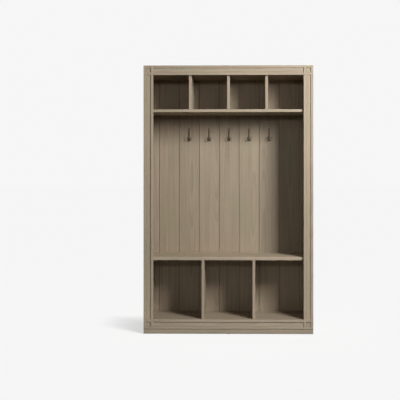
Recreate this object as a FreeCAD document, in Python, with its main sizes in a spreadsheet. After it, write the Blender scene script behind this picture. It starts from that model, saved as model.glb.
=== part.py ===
"""Hallway cabinet with a face frame, bench, coat bay and hat cubbies.

Millimetres, +Z up, the front towards -Y and the origin on the floor under the middle of the cabinet.
"""

import FreeCAD, Part
import os
import re
from math import cos, radians, sin

import Sketcher

# Driving dimensions
SIZES = {
    # Overall
    "overall_width": 1200,
    "overall_height": 1900,
    "overall_depth": 400,
    # Face frame and its sunk panels
    "frame_width": 68,
    "frame_thickness": 22,
    "panel_margin": 18,
    "panel_sink": 6,
    "arris": 1.5,
    # Plinth and glides
    "plinth_height": 35,
    "plinth_setback": 4,
    "rear_rail_thickness": 18,
    "block_section": 30,
    "glide_height": 2,
    "glide_diameter": 18,
    "glide_inset": 60,
    "glide_pin_diameter": 3,
    "glide_pin_length": 14,
    # Carcass
    "side_thickness": 22,
    "top_thickness": 22,
    "ceiling_thickness": 18,
    "shelf_thickness": 20,
    "bench_thickness": 24,
    "base_thickness": 22,
    "divider_thickness": 20,
    "housing_depth": 6,
    "cubby_height": 241,
    "bench_height": 544,
    # Back boards
    "board_thickness": 12,
    "board_pitch": 150,
    "end_board_width": 63,
    "rebate_width": 10,
    "joint_depth": 3,
    "tongue_thickness": 4,
    "tongue_length": 7,
    "tongue_clearance": 0.3,
    # Coat hooks
    "hook_drop": 94,
    "hook_plate_width": 10,
    "hook_plate_height": 84,
    "hook_plate_thickness": 7,
    "hook_foot_diameter": 12,
    "hook_rod_diameter": 5.5,
    "hook_rod_gap": 0.4,
    "hook_bend_radius": 12,
    "hook_splay": 25,
    "hook_tip_rise": 10,
    "hook_ball_diameter": 10,
    "hook_screw_inset": 9,
    "hook_screw_spacing": 40,
    # Screws and dowels
    "screw_head_diameter": 6.4,
    "screw_shank_diameter": 3.2,
    "screw_recess_width": 1,
    "screw_recess_depth": 1.2,
    "back_screw_length": 35,
    "hook_screw_length": 16,
    "dowel_diameter": 8,
    "dowel_length": 30,
    "dowel_offset": 13,
    "dowel_wall": 3,
    "dowel_chamfer": 1,
    "fastener_clearance": 0.1,
    # Holes in the top board for an anti-tip bracket
    "anchor_hole_diameter": 4,
    "anchor_hole_depth": 14,
    "anchor_spacing": 32,
    "anchor_setback": 14,
    "anchor_inset": 200,
}
HOOKS = 5
UPPER_BAYS = 4
LOWER_BAYS = 3
STILE_DOWELS = 4

# Places that follow from the driving dimensions, as expressions
HALF_WIDTH = "(overall_width / 2)"
INNER_HALF = "(overall_width / 2 - side_thickness)"
OPENING = "(overall_width - 2 * frame_width)"
FACE = "(-overall_depth / 2)"
CARCASS_FRONT = "(frame_thickness - overall_depth / 2)"
BOARDS_FRONT = "(overall_depth / 2 - board_thickness)"
PANEL_DEPTH = "(overall_depth - frame_thickness - board_thickness)"
PANEL_LENGTH = "(overall_width - 2 * side_thickness + 2 * housing_depth)"
BASE_TOP = "(plinth_height + frame_width)"
BASE_UNDER = "(plinth_height + frame_width - base_thickness)"
BENCH_UNDER = "(bench_height - bench_thickness)"
CEILING = "(overall_height - frame_width)"
HAT_TOP = "(overall_height - frame_width - cubby_height)"
HAT_UNDER = "(overall_height - frame_width - cubby_height - shelf_thickness)"
TOP_UNDER = "(overall_height - top_thickness)"
BOARDING_HALF = "(overall_width / 2 - side_thickness + rebate_width)"
TONGUE_MIDDLE = "(overall_depth / 2 - board_thickness / 2 + joint_depth / 2)"

NORMAL_AXIS = {"XY_Plane": "z", "YZ_Plane": "x"}
UP = FreeCAD.Vector(0, 0, 1)
BACKWARD = FreeCAD.Vector(0, 1, 0)
SIDES = {"left": -1, "right": 1}

doc = FreeCAD.newDocument("HallwayCabinet")
sheet = doc.addObject("Spreadsheet::Sheet", "Sizes")
for row, (alias, number) in enumerate(SIZES.items(), start=1):
    sheet.set(f"A{row}", alias)
    sheet.set(f"B{row}", str(number))
    sheet.setAlias(f"B{row}", alias)
doc.recompute()
pieces = []


def in_cells(expression):
    """An expression with each size's name turned into a reference to its cell."""
    return re.sub("[a-z_]+", lambda word: f"Sizes.{word[0]}" if word[0] in SIZES else word[0], expression)


def size(expression):
    """The number that one size, or an expression in sizes, comes to."""
    return float(sheet.evalExpression(in_cells(expression)))


def bind(target, prop, expression):
    """Binds a property to an expression in sizes."""
    target.setExpression(prop, in_cells(expression))


def move(target, corner):
    """Binds the three coordinates of an object's place to expressions."""
    for axis, place in zip("xyz", corner):
        bind(target, f"Placement.Base.{axis}", place)


def block(name, corner, span):
    """A box from its lowest corner and its three lengths, all expressions."""
    made = doc.addObject("Part::Box", name)
    for prop, length in zip(("Length", "Width", "Height"), span):
        bind(made, prop, length)
    move(made, corner)
    return made


def cylinder(name, radius, height, place, direction):
    """A round bar of bound radius and height, from a bound place along a direction."""
    made = doc.addObject("Part::Cylinder", name)
    bind(made, "Radius", radius)
    bind(made, "Height", height)
    made.Placement = FreeCAD.Placement(FreeCAD.Vector(), FreeCAD.Rotation(UP, direction))
    move(made, place)
    return made


def eased(name, base, axis, place):
    """The base with an arris on every edge that lies in one plane across an axis."""
    doc.recompute()
    made = doc.addObject("Part::Chamfer", f"{name}_eased")
    made.Base = base
    made.Edges = [
        (number, size("arris"), size("arris"))
        for number, edge in enumerate(base.Shape.Edges, start=1)
        if all(abs(getattr(vertex, axis) - place) < 1e-6 for vertex in edge.Vertexes)
    ]
    return made


def outline_sketch(body, plane, corners):
    """A closed polygon on one of the body's own origin planes, with both coordinates of each corner bound."""
    sketch = body.newObject("Sketcher::SketchObject", f"{body.Name}_outline")
    support = next(feature for feature in body.Origin.OriginFeatures if feature.Role == plane)
    sketch.AttachmentSupport = [(support, "")]
    sketch.MapMode = "FlatFace"
    count = len(corners)
    ring = [FreeCAD.Rotation(UP, 360 * i / count).multVec(FreeCAD.Vector(1, 0, 0)) for i in range(count)]
    for i in range(count):
        sketch.addGeometry(Part.LineSegment(ring[i], ring[(i + 1) % count]), False)
    for i in range(count):
        sketch.addConstraint(Sketcher.Constraint("Coincident", i, 2, (i + 1) % count, 1))
    for i, (across, along) in enumerate(corners):
        for kind, expression in (("DistanceX", across), ("DistanceY", along)):
            index = sketch.addConstraint(Sketcher.Constraint(kind, -1, 1, i, 1, 1.0))
            bind(sketch, f"Constraints[{index}]", expression)
    return sketch


def extrusion(name, plane, corners, start, length):
    """A body padded from an outline, beginning at start along the normal of its plane."""
    body = doc.addObject("PartDesign::Body", name)
    pad = body.newObject("PartDesign::Pad", f"{name}_pad")
    pad.Profile = outline_sketch(body, plane, corners)
    bind(pad, "Length", length)
    bind(body, f"Placement.Base.{NORMAL_AXIS[plane]}", start)
    return body


def turning(name, corners):
    """A body turned about Z from an outline of radii and heights."""
    body = doc.addObject("PartDesign::Body", name)
    sketch = outline_sketch(body, "XZ_Plane", corners)
    turned = body.newObject("PartDesign::Revolution", f"{name}_turn")
    turned.Profile = sketch
    turned.ReferenceAxis = (sketch, ["V_Axis"])
    turned.Angle = 360
    return body


def drilling(name, holes):
    """Cutters for holes, each a start, a direction, a diameter, a depth and a countersink's diameter or 0."""
    made = doc.addObject("Part::Feature", name)
    cutters = []
    for start, along, diameter, depth, sink in holes:
        hole = Part.makeCylinder(diameter / 2, depth, start, along)
        if sink:
            drop = (sink - diameter) / 2
            hole = hole.fuse(Part.makeCone(sink / 2, diameter / 2, drop, start, along))
        cutters.append(hole)
    made.Shape = Part.makeCompound(cutters)
    return made


def copies(label, seed, places):
    """One piece that is a group of separate copies of a seed, each from a start along a direction."""
    made = doc.addObject("Part::Feature", f"{label}_group")
    solids = []
    for start, along in places:
        solid = seed.Shape.Solids[0].copy()
        solid.Placement = FreeCAD.Placement(start, FreeCAD.Rotation(UP, along))
        solids.append(solid)
    made.Shape = Part.makeCompound(solids)
    keep(label, made)


def keep(label, blank, *cutters):
    """Names a finished piece, after taking the cutters away from its blank one by one."""
    made = blank
    for number, cutter in enumerate(cutters, start=1):
        cut = doc.addObject("Part::Cut", f"{label}_cut_{number}")
        cut.Base = made
        cut.Tool = cutter
        made = cut
    made.Label = label
    pieces.append(made)


def member_profile(outer, inner):
    """Outline across a face-frame member: eased front edges and a sunk panel between two margins.

    The first coordinate runs across the member, from outer to inner, and the second from front to back.
    """
    front = FACE
    eased = f"{front} + arris"
    sunk = f"{front} + panel_sink"
    return [
        (outer, CARCASS_FRONT),
        (outer, eased),
        (f"{outer} + arris", front),
        (f"{outer} + panel_margin - arris", front),
        (f"{outer} + panel_margin", eased),
        (f"{outer} + panel_margin", sunk),
        (f"{inner} - panel_margin", sunk),
        (f"{inner} - panel_margin", eased),
        (f"{inner} - panel_margin + arris", front),
        (f"{inner} - arris", front),
        (inner, eased),
        (inner, CARCASS_FRONT),
    ]


def stile(side):
    """Upright face-frame member between two corner blocks."""
    outer = f"-{HALF_WIDTH}" if side == "left" else f"{HALF_WIDTH} - frame_width"
    corners = member_profile(outer, f"{outer} + frame_width")
    height = f"{CEILING} - {BASE_TOP}"
    return extrusion(f"{side}_stile_blank", "XY_Plane", corners, BASE_TOP, height)


def rail(level, lower_edge):
    """Level face-frame member between two corner blocks."""
    across = member_profile(lower_edge, f"{lower_edge} + frame_width")
    corners = [(depth, height) for height, depth in across]
    return extrusion(f"{level}_rail_blank", "YZ_Plane", corners, f"-{OPENING} / 2", OPENING)


def corner_block(level, side, lower_edge):
    """Square block with eased front edges and a sunk square, where a stile meets a rail."""
    name = f"corner_block_{level}_{side}"
    left = f"-{HALF_WIDTH}" if side == "left" else f"{HALF_WIDTH} - frame_width"
    span = ("frame_width", "frame_thickness", "frame_width")
    blank = block(f"{name}_blank", (left, FACE, lower_edge), span)
    margin = (f"{left} + panel_margin", FACE, f"{lower_edge} + panel_margin")
    across = "frame_width - 2 * panel_margin"
    square = block(f"{name}_square", margin, (across, "panel_sink", across))
    sunk = doc.addObject("Part::Cut", f"{name}_sunk")
    sunk.Base = blank
    sunk.Tool = square
    return eased(name, sunk, "Y", -size("overall_depth") / 2)


def level_panel(name, under, thickness):
    """Housed panel across the carcass, with eased front edges."""
    top = f"{under} + {thickness}"
    corners = [
        (f"{CARCASS_FRONT} + arris", under),
        (BOARDS_FRONT, under),
        (BOARDS_FRONT, top),
        (f"{CARCASS_FRONT} + arris", top),
        (CARCASS_FRONT, f"{top} - arris"),
        (CARCASS_FRONT, f"{under} + arris"),
    ]
    return extrusion(f"{name}_blank", "YZ_Plane", corners, f"-{PANEL_LENGTH} / 2", PANEL_LENGTH)


def divider(name, middle, floor_height, roof_height):
    """Upright between two level panels, housed in both, with eased front edges."""
    left = f"{middle} - divider_thickness / 2"
    right = f"{middle} + divider_thickness / 2"
    corners = [
        (f"{left} + arris", CARCASS_FRONT),
        (f"{right} - arris", CARCASS_FRONT),
        (right, f"{CARCASS_FRONT} + arris"),
        (right, BOARDS_FRONT),
        (left, BOARDS_FRONT),
        (left, f"{CARCASS_FRONT} + arris"),
    ]
    height = f"{roof_height} - {floor_height} + 2 * housing_depth"
    return extrusion(f"{name}_blank", "XY_Plane", corners, f"{floor_height} - housing_depth", height)


def divider_middles(bays):
    """Middles of the dividers that part the frame's opening into equal bays."""
    return [f"{index - bays / 2} * ({OPENING} + divider_thickness) / {bays}" for index in range(1, bays)]


def divider_housings(name, middles, lower_face):
    """Grooves of one housing's depth for a row of dividers, from their lower face up."""
    grooves = []
    for number, middle in enumerate(middles, start=1):
        corner = (f"{middle} - divider_thickness / 2", CARCASS_FRONT, lower_face)
        grooves.append(block(f"{name}_{number}", corner, ("divider_thickness", PANEL_DEPTH, "housing_depth")))
    return grooves


def side_cutters(side):
    """Housings for the level panels and the rebate for the back boards in one side panel."""
    levels = {
        "base": (BASE_UNDER, "base_thickness", PANEL_DEPTH),
        "bench": (BENCH_UNDER, "bench_thickness", PANEL_DEPTH),
        "hat": (HAT_UNDER, "shelf_thickness", PANEL_DEPTH),
        "ceiling": (CEILING, "ceiling_thickness", PANEL_DEPTH),
        "top": (TOP_UNDER, "top_thickness", f"{PANEL_DEPTH} + board_thickness"),
    }
    made = []
    for name, (under, thickness, depth) in levels.items():
        left = f"-{INNER_HALF} - housing_depth" if side == "left" else INNER_HALF
        corner = (left, CARCASS_FRONT, under)
        made.append(block(f"{side}_{name}_housing", corner, ("housing_depth", depth, thickness)))
    left = f"-{BOARDING_HALF}" if side == "left" else INNER_HALF
    corner = (left, BOARDS_FRONT, "glide_height")
    span = ("rebate_width", "board_thickness", f"{TOP_UNDER} - glide_height")
    made.append(block(f"{side}_rebate", corner, span))
    return made


def boarding_edges():
    """Left and right edges of the back boards.

    Each hook has a board of the full pitch behind it, the two end boards are narrow,
    and the boards between fill the rest.
    """
    joints = [f"{index - HOOKS / 2} * board_pitch" for index in range(HOOKS + 1)]
    end_joint = f"({BOARDING_HALF} - end_board_width)"
    edges = [f"-{BOARDING_HALF}", f"-{end_joint}", *joints, end_joint, BOARDING_HALF]
    return list(zip(edges, edges[1:]))


def back_board(number, left, right, grooved, tongued):
    """Tongue and groove board with a V joint, or a square edge where it is ripped."""
    back = "overall_depth / 2"
    shoulder = f"{BOARDS_FRONT} + joint_depth"
    tip = f"{right} + tongue_length"
    tongue_front = f"{TONGUE_MIDDLE} - tongue_thickness / 2"
    tongue_back = f"{TONGUE_MIDDLE} + tongue_thickness / 2"
    floor_of_groove = f"{left} + tongue_length + tongue_clearance"
    groove_front = f"{tongue_front} - tongue_clearance"
    groove_back = f"{tongue_back} + tongue_clearance"
    corners = []
    if grooved:
        corners += [
            (left, back),
            (left, groove_back),
            (floor_of_groove, groove_back),
            (floor_of_groove, groove_front),
            (left, groove_front),
            (left, shoulder),
            (f"{left} + joint_depth", BOARDS_FRONT),
        ]
    else:
        corners += [(left, back), (left, BOARDS_FRONT)]
    if tongued:
        corners += [
            (f"{right} - joint_depth", BOARDS_FRONT),
            (right, shoulder),
            (right, tongue_front),
            (tip, tongue_front),
            (tip, tongue_back),
            (right, tongue_back),
            (right, back),
        ]
    else:
        corners += [(right, BOARDS_FRONT), (right, back)]
    height = f"{TOP_UNDER} - plinth_height"
    return extrusion(f"back_board_{number}_blank", "XY_Plane", corners, "plinth_height", height)


def hook_blank(number, middle):
    """Cast double hook: a slim plate with a round foot, and two rods that bend forward to ball tips."""
    name = f"coat_hook_{number}"
    plate_top = f"{HAT_UNDER} - hook_drop"
    foot = f"{plate_top} - hook_plate_height"
    back = f"{BOARDS_FRONT} - hook_plate_thickness"
    round_top = f"{plate_top} - hook_plate_width / 2"
    plate_corner = (f"{middle} - hook_plate_width / 2", back, foot)
    plate_span = ("hook_plate_width", "hook_plate_thickness", "hook_plate_height - hook_plate_width / 2")
    thickness = "hook_plate_thickness"
    parts = [
        block(f"{name}_plate", plate_corner, plate_span),
        cylinder(f"{name}_top", "hook_plate_width / 2", thickness, (middle, back, round_top), BACKWARD),
        cylinder(f"{name}_foot", "hook_foot_diameter / 2", thickness, (middle, back, foot), BACKWARD),
    ]
    rod_y = f"{BOARDS_FRONT} - hook_rod_diameter / 2 - hook_rod_gap"
    for side, sign in SIDES.items():
        turn = radians(sign * size("hook_splay"))
        forward = FreeCAD.Vector(sin(turn), -cos(turn), 0)
        rod_x = f"{middle} + {sign} * (hook_rod_diameter + hook_rod_gap) / 2"
        bend = doc.addObject("Part::Torus", f"{name}_{side}_bend")
        bind(bend, "Radius1", "hook_bend_radius")
        bind(bend, "Radius2", "hook_rod_diameter / 2")
        bend.Angle3 = 180
        turned = FreeCAD.Rotation(forward, -UP, forward.cross(-UP))
        bend.Placement = FreeCAD.Placement(FreeCAD.Vector(), turned)
        bend_x = f"{rod_x} + {forward.x} * hook_bend_radius"
        bend_y = f"{rod_y} + {forward.y} * hook_bend_radius"
        move(bend, (bend_x, bend_y, foot))
        tip_x = f"{rod_x} + {2 * forward.x} * hook_bend_radius"
        tip_y = f"{rod_y} + {2 * forward.y} * hook_bend_radius"
        tip_foot = (tip_x, tip_y, foot)
        tip = cylinder(f"{name}_{side}_tip", "hook_rod_diameter / 2", "hook_tip_rise", tip_foot, UP)
        ball = doc.addObject("Part::Sphere", f"{name}_{side}_ball")
        bind(ball, "Radius", "hook_ball_diameter / 2")
        move(ball, (tip_x, tip_y, f"{foot} + hook_tip_rise"))
        parts += [bend, tip, ball]
    made = doc.addObject("Part::MultiFuse", f"{name}_blank")
    made.Shapes = parts
    made.Refine = True
    return made


def screw(name, length):
    """Countersunk wood screw along Z, from the top of its head to its point, with a cross recess."""
    head = "screw_head_diameter / 2"
    shank = "screw_shank_diameter / 2"
    corners = [
        ("0", "0"),
        (head, "0"),
        (shank, f"{head} - {shank}"),
        (shank, f"{length} - screw_shank_diameter"),
        ("0", length),
    ]
    made = turning(f"{name}_turned", corners)
    reach = "0.6 * screw_head_diameter"
    wide = "screw_recess_width"
    for number, (across, along) in enumerate(((reach, wide), (wide, reach)), start=1):
        corner = (f"-({across}) / 2", f"-({along}) / 2", "0")
        slot = block(f"{name}_slot_{number}", corner, (across, along, "screw_recess_depth"))
        cut = doc.addObject("Part::Cut", f"{name}_recess_{number}")
        cut.Base = made
        cut.Tool = slot
        made = cut
    return made


def dowel():
    """Wooden dowel along Z with chamfered ends."""
    radius = "dowel_diameter / 2"
    corners = [
        ("0", "0"),
        (f"{radius} - dowel_chamfer", "0"),
        (radius, "dowel_chamfer"),
        (radius, "dowel_length - dowel_chamfer"),
        (f"{radius} - dowel_chamfer", "dowel_length"),
        ("0", "dowel_length"),
    ]
    return turning("dowel", corners)


def glide():
    """Nail-in glide: a domed foot disc from the floor up, and a pin above it."""
    radius = "glide_diameter / 2"
    pin = "glide_pin_diameter / 2"
    pin_top = "glide_height + glide_pin_length"
    corners = [
        ("0", "0"),
        (f"{radius} - glide_height / 2", "0"),
        (radius, "glide_height / 2"),
        (radius, "glide_height"),
        (pin, "glide_height"),
        (pin, f"{pin_top} - glide_pin_diameter"),
        ("0", pin_top),
    ]
    return turning("glide", corners)


def spread(reach, count):
    """Even places along a length that is centred on zero, clear of both ends."""
    return [reach * ((index + 0.5) / count - 0.5) for index in range(count)]


def frame_dowel_places():
    """Start and direction of the dowels in the joints between corner blocks, stiles and rails."""
    width = size("frame_width")
    grip = width / 2 - size("dowel_offset") - size("dowel_diameter") / 2 - size("dowel_wall")
    depth = -size("overall_depth") / 2 + (size("frame_thickness") + size("panel_sink")) / 2
    levels = {-1: size("plinth_height"), 1: size("overall_height") - width}
    places = []
    for side in SIDES.values():
        joint_x = side * (size("overall_width") / 2 - width)
        for level, lower_edge in levels.items():
            joint_z = lower_edge + width if level < 0 else lower_edge
            for offset in (-size("dowel_offset"), size("dowel_offset")):
                in_rail = FreeCAD.Vector(joint_x + side * grip, depth, lower_edge + width / 2 + offset)
                places.append((in_rail, FreeCAD.Vector(-side, 0, 0)))
                in_stile = FreeCAD.Vector(joint_x + side * width / 2 + offset, depth, joint_z + level * grip)
                places.append((in_stile, FreeCAD.Vector(0, 0, -level)))
    return places


def carcass_dowel_places():
    """Start and direction of the dowels from the back of the face frame into the carcass edges."""
    width = size("frame_width")
    grip = size("frame_thickness") - size("panel_sink") - 2 * size("dowel_wall")
    start = size("frame_thickness") - size("overall_depth") / 2 - grip
    low = size("plinth_height") + width
    high = size("overall_height") - width
    places = []
    for side in SIDES.values():
        x = side * (size("overall_width") - size("side_thickness")) / 2
        for z in spread(high - low, STILE_DOWELS):
            places.append((FreeCAD.Vector(x, start, (low + high) / 2 + z), BACKWARD))
    panel_edges = (
        (low - size("base_thickness") / 2, LOWER_BAYS),
        (high + size("ceiling_thickness") / 2, UPPER_BAYS),
    )
    for z, bays in panel_edges:
        for x in spread(size("overall_width") - 2 * width, bays):
            places.append((FreeCAD.Vector(x, start, z), BACKWARD))
    return places


def dowel_holes(name, places):
    """Cutters for dowels, wider than them and deeper at each end by the clearance."""
    gap = size("fastener_clearance")
    wide = size("dowel_diameter") + 2 * gap
    deep = size("dowel_length") + 2 * gap
    return drilling(name, [(start - along * gap, along, wide, deep, 0) for start, along in places])


def screw_holes(name, places, length):
    """Cutters for countersunk screws, wider than them by the clearance and deeper at the point."""
    gap = size("fastener_clearance")
    shank = size("screw_shank_diameter") + 2 * gap
    head = size("screw_head_diameter") + 2 * gap
    return drilling(name, [(start, along, shank, length + gap, head) for start, along in places])


# Face frame
left_stile = stile("left")
right_stile = stile("right")
top_rail = rail("top", CEILING)
bottom_rail = rail("bottom", "plinth_height")
corner_blocks = {
    (level, side): corner_block(level, side, lower_edge)
    for level, lower_edge in (("bottom", "plinth_height"), ("top", CEILING))
    for side in SIDES
}

# Carcass
side_span = ("side_thickness", "overall_depth - frame_thickness", "overall_height - glide_height")
side_blanks = {
    "left": block("left_side_blank", (f"-{HALF_WIDTH}", CARCASS_FRONT, "glide_height"), side_span),
    "right": block("right_side_blank", (INNER_HALF, CARCASS_FRONT, "glide_height"), side_span),
}
side_panels = {
    side: eased(f"{side}_side", blank, "X", SIDES[side] * size("overall_width") / 2)
    for side, blank in side_blanks.items()
}
top_span = (PANEL_LENGTH, f"{PANEL_DEPTH} + board_thickness", "top_thickness")
top_board = block("top_board_blank", (f"-{PANEL_LENGTH} / 2", CARCASS_FRONT, TOP_UNDER), top_span)
cubby_ceiling = level_panel("cubby_ceiling", CEILING, "ceiling_thickness")
hat_shelf = level_panel("hat_shelf", HAT_UNDER, "shelf_thickness")
bench_seat = level_panel("bench_seat", BENCH_UNDER, "bench_thickness")
base_board = level_panel("base_board", BASE_UNDER, "base_thickness")
upper_middles = divider_middles(UPPER_BAYS)
lower_middles = divider_middles(LOWER_BAYS)

# Plinth
plinth_corner = (f"-{HALF_WIDTH}", f"{FACE} + plinth_setback", "glide_height")
plinth_span = ("overall_width", "frame_thickness - plinth_setback", "plinth_height - glide_height")
plinth_blank = block("plinth_front_blank", plinth_corner, plinth_span)
plinth_front = eased("plinth_front", plinth_blank, "Y", size("plinth_setback") - size("overall_depth") / 2)
rail_corner = (f"-{INNER_HALF}", f"{BOARDS_FRONT} - rear_rail_thickness", "glide_height")
rail_span = (f"2 * {INNER_HALF}", "rear_rail_thickness", f"{BASE_UNDER} - glide_height")
plinth_rear = block("plinth_rear_blank", rail_corner, rail_span)
block_places = {
    "left": f"-{INNER_HALF}",
    "middle": "-block_section / 2",
    "right": f"{INNER_HALF} - block_section",
}
for place, left_face in block_places.items():
    block_span = ("block_section", "block_section", f"{BASE_UNDER} - glide_height")
    keep(
        f"plinth_block_{place}",
        block(f"plinth_block_{place}_blank", (left_face, CARCASS_FRONT, "glide_height"), block_span),
    )

# Back boards and coat hooks
board_edges = boarding_edges()
last_board = len(board_edges) - 1
back_boards = [
    back_board(index + 1, left, right, grooved=index > 0, tongued=index < last_board)
    for index, (left, right) in enumerate(board_edges)
]
hook_steps = [index - (HOOKS - 1) / 2 for index in range(HOOKS)]
hook_blanks = [hook_blank(index + 1, f"{step} * board_pitch") for index, step in enumerate(hook_steps)]
doc.recompute()

# Fasteners and their holes
frame_places = frame_dowel_places()
frame_holes = dowel_holes("frame_dowel_holes", frame_places)
carcass_places = carcass_dowel_places()
carcass_holes = dowel_holes("carcass_dowel_holes", carcass_places)

back_face = size("overall_depth") / 2
below_housing = -size("housing_depth") / 2
above_housing = size("housing_depth") / 2
screw_heights = [
    panel.Shape.BoundBox.Center.z + clear_of_dividers
    for panel, clear_of_dividers in (
        (base_board, below_housing),
        (bench_seat, above_housing),
        (hat_shelf, below_housing),
        (cubby_ceiling, above_housing),
    )
]
back_screw_places = [
    (FreeCAD.Vector(size(f"({left} + {right}) / 2"), back_face, z), -BACKWARD)
    for left, right in board_edges
    for z in screw_heights
]
back_screw_holes = screw_holes("back_screw_holes", back_screw_places, size("back_screw_length"))

plate_top = hat_shelf.Shape.BoundBox.ZMin - size("hook_drop")
plate_front = back_face - size("board_thickness") - size("hook_plate_thickness")
upper_screw = plate_top - size("hook_screw_inset")
hook_screw_places = [
    (FreeCAD.Vector(step * size("board_pitch"), plate_front, z), BACKWARD)
    for step in hook_steps
    for z in (upper_screw, upper_screw - size("hook_screw_spacing"))
]
hook_screw_holes = screw_holes("hook_screw_holes", hook_screw_places, size("hook_screw_length"))

glide_x = (size("overall_width") - size("side_thickness")) / 2
glide_front = size("frame_thickness") - size("overall_depth") / 2 + size("glide_inset")
glide_back = back_face - size("glide_inset")
glide_places = [
    (FreeCAD.Vector(side * glide_x, y, 0), UP) for side in SIDES.values() for y in (glide_front, glide_back)
]
for support in (plinth_front, plinth_rear):
    glide_places.append((FreeCAD.Vector(0, support.Shape.BoundBox.Center.y, 0), UP))
pin_hole = size("glide_pin_diameter") + 2 * size("fastener_clearance")
pin_depth = size("glide_height") + size("glide_pin_length") + size("fastener_clearance")
glide_holes = drilling(
    "glide_holes",
    [(start, along, pin_hole, pin_depth, 0) for start, along in glide_places],
)

anchor_x = size("overall_width") / 2 - size("anchor_inset")
anchor_y = back_face - size("anchor_setback")
anchor_holes = drilling(
    "anchor_holes",
    [
        (
            FreeCAD.Vector(side * anchor_x + half, anchor_y, size("overall_height")),
            -UP,
            size("anchor_hole_diameter"),
            size("anchor_hole_depth"),
            0,
        )
        for side in SIDES.values()
        for half in (-size("anchor_spacing") / 2, size("anchor_spacing") / 2)
    ],
)

back_screw = screw("back_screw", "back_screw_length")
hook_screw = screw("hook_screw", "hook_screw_length")
dowel_seed = dowel()
glide_seed = glide()
doc.recompute()
copies("frame_dowels", dowel_seed, frame_places)
copies("carcass_dowels", dowel_seed, carcass_places)
copies("back_screws", back_screw, back_screw_places)
copies("hook_screws", hook_screw, hook_screw_places)
copies("floor_glides", glide_seed, glide_places)

# Finished pieces
keep("left_stile", left_stile, frame_holes, carcass_holes)
keep("right_stile", right_stile, frame_holes, carcass_holes)
keep("top_rail", top_rail, frame_holes, carcass_holes)
keep("bottom_rail", bottom_rail, frame_holes, carcass_holes)
for (level, side), blank in corner_blocks.items():
    keep(f"corner_block_{level}_{side}", blank, frame_holes)
for side, blank in side_panels.items():
    keep(f"{side}_side_panel", blank, *side_cutters(side), carcass_holes, glide_holes)
keep("top_board", top_board, anchor_holes)
ceiling_grooves = divider_housings("ceiling_groove", upper_middles, CEILING)
hat_grooves = divider_housings("hat_groove", upper_middles, f"{HAT_TOP} - housing_depth")
bench_grooves = divider_housings("bench_groove", lower_middles, BENCH_UNDER)
base_grooves = divider_housings("base_groove", lower_middles, f"{BASE_TOP} - housing_depth")
keep("cubby_ceiling", cubby_ceiling, *ceiling_grooves, carcass_holes, back_screw_holes)
keep("hat_shelf", hat_shelf, *hat_grooves, back_screw_holes)
keep("bench_seat", bench_seat, *bench_grooves, back_screw_holes)
keep("base_board", base_board, *base_grooves, carcass_holes, back_screw_holes)
for place, middle in zip(("left", "middle", "right"), upper_middles):
    keep(f"upper_divider_{place}", divider(f"upper_divider_{place}", middle, HAT_TOP, CEILING))
for place, middle in zip(("left", "right"), lower_middles):
    keep(f"lower_divider_{place}", divider(f"lower_divider_{place}", middle, BASE_TOP, BENCH_UNDER))
keep("plinth_front", plinth_front, glide_holes)
keep("plinth_rear", plinth_rear, glide_holes)
for number, blank in enumerate(back_boards, start=1):
    keep(f"back_board_{number}", blank, back_screw_holes, hook_screw_holes)
for number, blank in enumerate(hook_blanks, start=1):
    keep(f"coat_hook_{number}", blank, hook_screw_holes)
doc.recompute()

failed = [made.Name for made in doc.Objects if {"Invalid", "Error"} & set(made.State)]
unsound = [made.Label for made in pieces if made.Shape.isNull() or not made.Shape.isValid()]
if failed or unsound:
    raise RuntimeError(f"failed objects {failed}, unsound pieces {unsound}")
os.makedirs("parts", exist_ok=True)
for made in pieces:
    made.Shape.exportStep(f"parts/{made.Label}.step")
print(f"{len(pieces)} pieces, {sum(len(made.Shape.Solids) for made in pieces)} solids")
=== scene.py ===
"""Hallway cabinet: timber finishes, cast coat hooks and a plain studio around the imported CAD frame.

Metres, in the CAD part's own frame: +Z up, the open front towards -Y and the floor at zero.
"""

import logging
import math
from dataclasses import asdict, dataclass, field
from enum import Enum
from typing import Any, Union

import bmesh
import bpy
from mathutils import Euler, Matrix, Vector


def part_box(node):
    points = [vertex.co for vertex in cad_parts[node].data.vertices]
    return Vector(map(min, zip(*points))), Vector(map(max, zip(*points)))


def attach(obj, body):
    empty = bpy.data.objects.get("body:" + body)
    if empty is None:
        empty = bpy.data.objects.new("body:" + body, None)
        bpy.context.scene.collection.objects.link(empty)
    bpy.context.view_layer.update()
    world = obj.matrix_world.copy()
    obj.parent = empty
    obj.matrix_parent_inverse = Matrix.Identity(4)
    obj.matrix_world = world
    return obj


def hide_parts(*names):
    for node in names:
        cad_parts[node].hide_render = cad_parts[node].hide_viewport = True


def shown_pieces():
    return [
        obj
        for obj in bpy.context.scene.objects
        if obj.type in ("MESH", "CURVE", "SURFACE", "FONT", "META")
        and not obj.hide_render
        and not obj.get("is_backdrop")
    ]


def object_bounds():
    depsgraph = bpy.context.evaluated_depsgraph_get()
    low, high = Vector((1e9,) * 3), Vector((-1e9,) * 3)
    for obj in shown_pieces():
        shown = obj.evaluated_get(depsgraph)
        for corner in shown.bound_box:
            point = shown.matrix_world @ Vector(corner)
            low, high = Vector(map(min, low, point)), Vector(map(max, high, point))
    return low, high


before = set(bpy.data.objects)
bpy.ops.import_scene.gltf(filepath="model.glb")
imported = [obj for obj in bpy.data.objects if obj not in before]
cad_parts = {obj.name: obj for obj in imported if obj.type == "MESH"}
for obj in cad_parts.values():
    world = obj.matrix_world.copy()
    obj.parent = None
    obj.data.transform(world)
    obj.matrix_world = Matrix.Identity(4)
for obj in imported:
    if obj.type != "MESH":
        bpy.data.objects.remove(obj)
CAD_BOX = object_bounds()

log = logging.getLogger("hallway_cabinet")

BODY = "root"
GOLDEN_TURN = 0.618034
WHITE = (1.0, 1.0, 1.0, 1.0)
Colour = tuple[float, float, float]
Triple = tuple[float, float, float]
Span = tuple[float, float]
Operand = Union["Value", float]


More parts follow.
